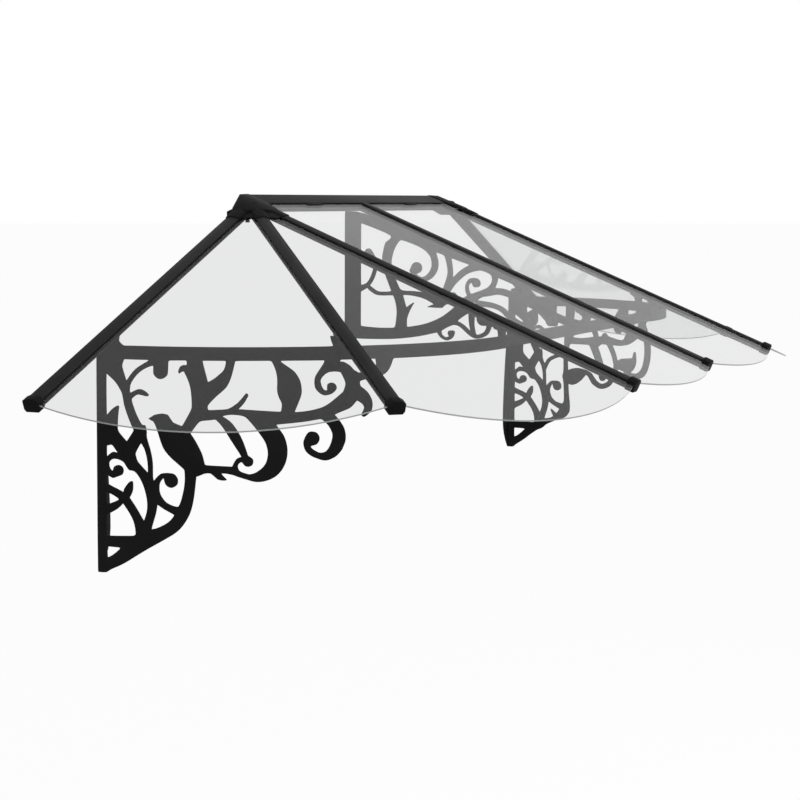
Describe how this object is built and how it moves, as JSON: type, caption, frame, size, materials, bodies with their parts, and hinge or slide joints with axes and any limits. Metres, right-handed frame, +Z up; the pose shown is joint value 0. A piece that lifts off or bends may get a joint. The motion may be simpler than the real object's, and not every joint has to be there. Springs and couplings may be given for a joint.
{
  "type": "door canopy",
  "caption": "Hipped door canopy with clear scalloped panels on black glazing bars and scroll-cut brackets.",
  "frame": {"origin": "on the wall face, in the middle of the ridge beam's back, level with the line where the panels' undersides meet", "axes": "+Z up, +X along the wall to the right as seen from outside facing the wall, +Y into the wall; the canopy reaches towards -Y"},
  "size_m": [2.7744, 0.9043, 0.7095],
  "materials": {
    "bar_metal": "satin black powder coat",
    "plate_metal": "satin black powder coat",
    "moulding": "fine matt black",
    "clear_sheet": "clear and glossy",
    "gasket": "matt",
    "screw": "black coated steel"
  },
  "bodies": {
    "root": {"ridge_beam": "bar_metal", "ridge_cover": "bar_metal", "ridge_clip_left": "moulding", "hub_base_left": "moulding", "hub_cover_left": "moulding", "ridge_clip_right": "moulding", "hub_base_right": "moulding", "hub_cover_right": "moulding", "bar_base_a": "bar_metal", "bar_cover_a": "bar_metal", "gasket_a": "gasket", "end_cap_a": "moulding", "bar_screw_a": "screw", "bar_base_b": "bar_metal", "bar_cover_b": "bar_metal", "gasket_b": "gasket", "end_cap_b": "moulding", "bar_screw_b": "screw", "bar_base_c": "bar_metal", "bar_cover_c": "bar_metal", "gasket_c": "gasket", "end_cap_c": "moulding", "bar_screw_c": "screw", "bar_base_d": "bar_metal", "bar_cover_d": "bar_metal", "gasket_d": "gasket", "end_cap_d": "moulding", "bar_screw_d": "screw", "bar_base_e": "bar_metal", "bar_cover_e": "bar_metal", "gasket_e": "gasket", "end_cap_e": "moulding", "bar_screw_e": "screw", "bar_base_f": "bar_metal", "bar_cover_f": "bar_metal", "gasket_f": "gasket", "end_cap_f": "moulding", "bar_screw_f": "screw", "bar_base_g": "bar_metal", "bar_cover_g": "bar_metal", "gasket_g": "gasket", "end_cap_g": "moulding", "bar_screw_g": "screw", "panel_ab": "clear_sheet", "panel_bc": "clear_sheet", "panel_cd": "clear_sheet", "panel_de": "clear_sheet", "panel_ef": "clear_sheet", "panel_fg": "clear_sheet", "scroll_plate_left": "plate_metal", "scroll_plate_right": "plate_metal", "middle_gusset": "plate_metal", "front_rail": "plate_metal", "rail_screw_1": "screw", "rail_screw_2": "screw", "rail_screw_3": "screw", "rail_screw_4": "screw"}
  },
  "joints": []
}
